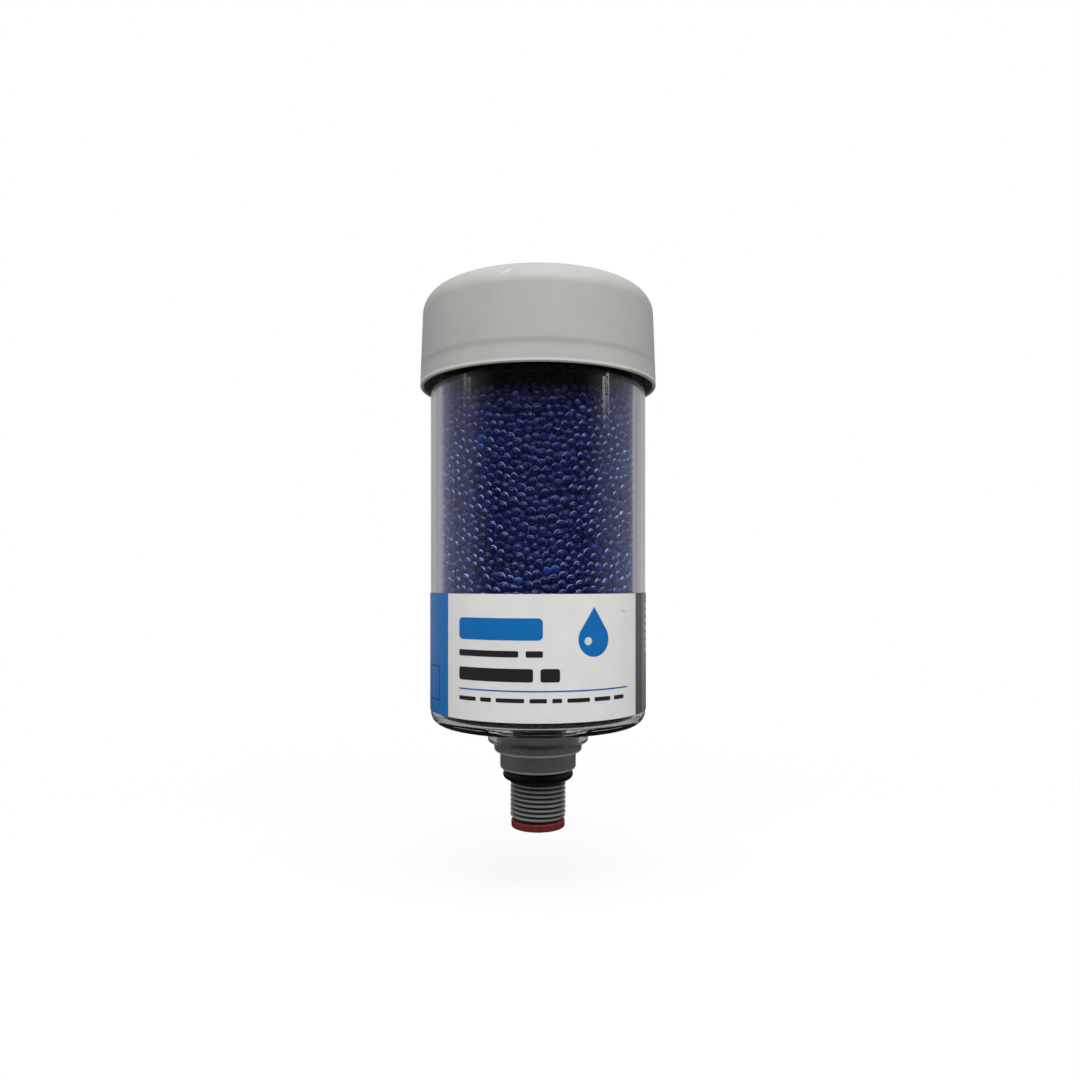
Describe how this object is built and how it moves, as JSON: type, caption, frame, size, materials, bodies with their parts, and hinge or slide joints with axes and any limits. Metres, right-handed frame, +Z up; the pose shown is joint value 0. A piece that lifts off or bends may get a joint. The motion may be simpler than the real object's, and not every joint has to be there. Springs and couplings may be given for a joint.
{
  "type": "silica gel breather",
  "caption": "Clear cylinder of drying beads under a domed rain cap, on a stepped threaded stem with an O-ring, drying the air that a tank breathes.",
  "frame": {"origin": "on the axis, at the top end of the stem's thread, below the O-ring groove", "axes": "+Z up along the axis, from the thread to the cap; -Y is the front of the label, +X to its right"},
  "size_m": [0.1076, 0.1076, 0.2501],
  "materials": {
    "cap_plastic": "satin light grey",
    "clear_plastic": "clear polished",
    "grid_plastic": "moulded dark grey",
    "filter_felt": "off-white felt",
    "black_foam": "black open-cell foam",
    "gel_beads": "glassy dark blue beads",
    "stem_plastic": "moulded mid grey",
    "seal_rubber": "black smooth rubber",
    "red_plastic": "soft red plastic",
    "label_film": "printed film in fields of white, blue and dark grey"
  },
  "bodies": {
    "breather": {"cap": "cap_plastic", "housing": "clear_plastic", "top_retainer": "grid_plastic", "top_filter": "filter_felt", "top_foam": "black_foam", "silica_gel": "gel_beads", "lower_filter": "filter_felt", "lower_foam": "black_foam", "stem": "stem_plastic", "o_ring": "seal_rubber", "label": "label_film"},
    "plug": {"shipping_plug": "red_plastic"}
  },
  "joints": [
    {"name": "plug_pull", "type": "slide", "parent": "breather", "child": "plug", "axis": [0, 0, -1], "range_m": [0, 0.03]}
  ]
}
